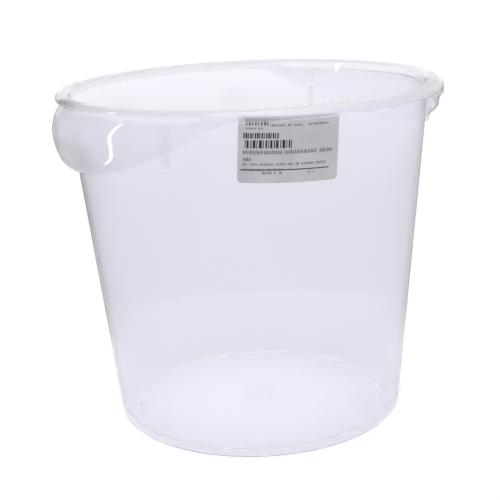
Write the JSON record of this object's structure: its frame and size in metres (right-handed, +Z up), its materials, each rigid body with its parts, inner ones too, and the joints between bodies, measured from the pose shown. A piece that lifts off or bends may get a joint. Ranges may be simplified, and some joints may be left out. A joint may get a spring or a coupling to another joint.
{
  "type": "round food storage container",
  "caption": "Open, tapered round tub in clear plastic for storing food, with a rolled rim, crescent apron grips on opposite sides and a paper label behind the lip.",
  "frame": {"origin": "on the tub's axis, in the plane of the foot ring that it stands on", "axes": "+X through the middle of one grip, +Z up out of the mouth, the label on the -Y side"},
  "size_m": [0.3356, 0.3334, 0.2925],
  "materials": {
    "clear_plastic": "clear, smooth, with a faint lavender tint",
    "label_paper": "grey paper, matt"
  },
  "bodies": {
    "root": {"container_body": "clear_plastic", "stock_label": "label_paper"}
  },
  "joints": []
}
